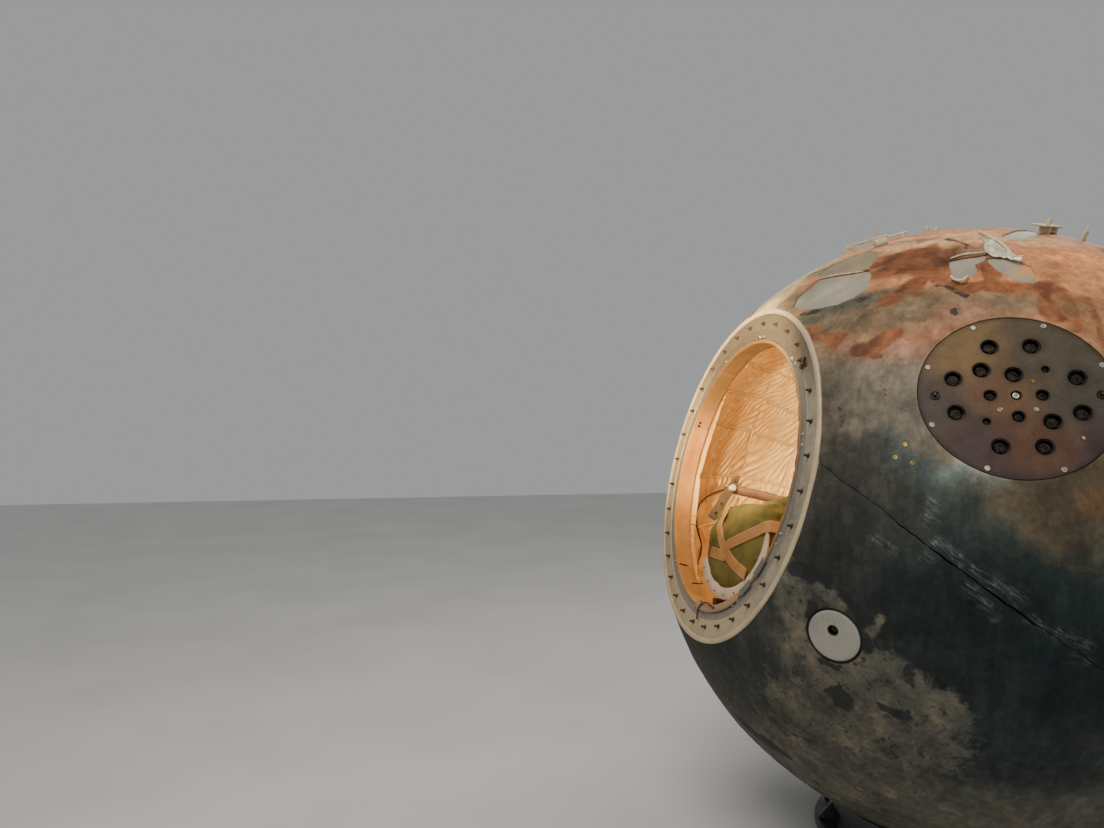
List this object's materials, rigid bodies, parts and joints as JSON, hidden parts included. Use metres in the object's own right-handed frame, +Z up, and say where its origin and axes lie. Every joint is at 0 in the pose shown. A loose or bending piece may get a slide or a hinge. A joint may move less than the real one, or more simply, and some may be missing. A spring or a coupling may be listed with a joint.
{
  "type": "spherical crewed descent capsule",
  "caption": "Charred spherical space capsule on a low cradle, open at its large round hatch, with a quilted cabin and a seat that slides out on guide rails.",
  "frame": {"origin": "on the floor under the sphere's centre, at the middle of the cradle's base", "axes": "+Z up; -Y is the side of the large hatch, whose axis looks up by 13.4 degrees; +X is the side of the connector plate"},
  "size_m": [2.3, 2.2326, 2.3668],
  "materials": {
    "charred_shield": "matt",
    "flange_paint": "satin",
    "cream_paint": "satin",
    "hull_alloy": "satin",
    "quilted_lining": "matt",
    "burnt_plate": "heat stained",
    "port_alloy": "matt",
    "olive_canvas": "matt",
    "seat_paint": "satin",
    "seat_tube_paint": "satin",
    "cradle_paint": "satin",
    "cradle_rubber": "matt",
    "cable_sheath": "matt",
    "window_glass": "clear"
  },
  "bodies": {
    "capsule": {"cabin_cable": "cable_sheath", "cabin_lining_lower": "quilted_lining", "cabin_lining_upper": "quilted_lining", "cable_clip_lower": "cream_paint", "cable_clip_upper": "cream_paint", "connector_plate": "burnt_plate", "cradle_base": "cradle_paint", "cradle_pad": "cradle_rubber", "cradle_ring": "cradle_paint", "cradle_wall": "cradle_paint", "crown_bar": "cream_paint", "crown_bracket": "cream_paint", "crown_catch": "cream_paint", "crown_drum": "cream_paint", "crown_post_front": "cream_paint", "crown_post_rear": "cream_paint", "crown_tab": "cream_paint", "equipment_hatch_cover": "charred_shield", "guide_rail_left": "hull_alloy", "guide_rail_right": "hull_alloy", "hatch_flange": "flange_paint", "hatch_frame": "cream_paint", "hatch_lip": "quilted_lining", "heat_shield_lower": "charred_shield", "heat_shield_upper": "charred_shield", "left_window_frame": "hull_alloy", "left_window_glass": "window_glass", "parachute_hatch_cover": "charred_shield", "pressure_hull": "hull_alloy", "rear_window_frame": "hull_alloy", "rear_window_glass": "window_glass", "side_port_plug": "port_alloy"},
    "seat": {"seat_shell": "seat_paint", "seat_container": "seat_tube_paint", "parachute_pack": "olive_canvas", "back_cushion": "olive_canvas", "headrest": "olive_canvas", "seat_pan": "seat_paint", "seat_cushion": "olive_canvas", "leg_rest": "seat_paint", "leg_cushion": "olive_canvas", "foot_rest": "seat_paint", "arm_left": "seat_tube_paint"}
  },
  "joints": [
    {"name": "seat_slide", "type": "slide", "parent": "capsule", "child": "seat", "axis": [0, -0.9729, 0.2311], "range_m": [0, 0.9]}
  ]
}
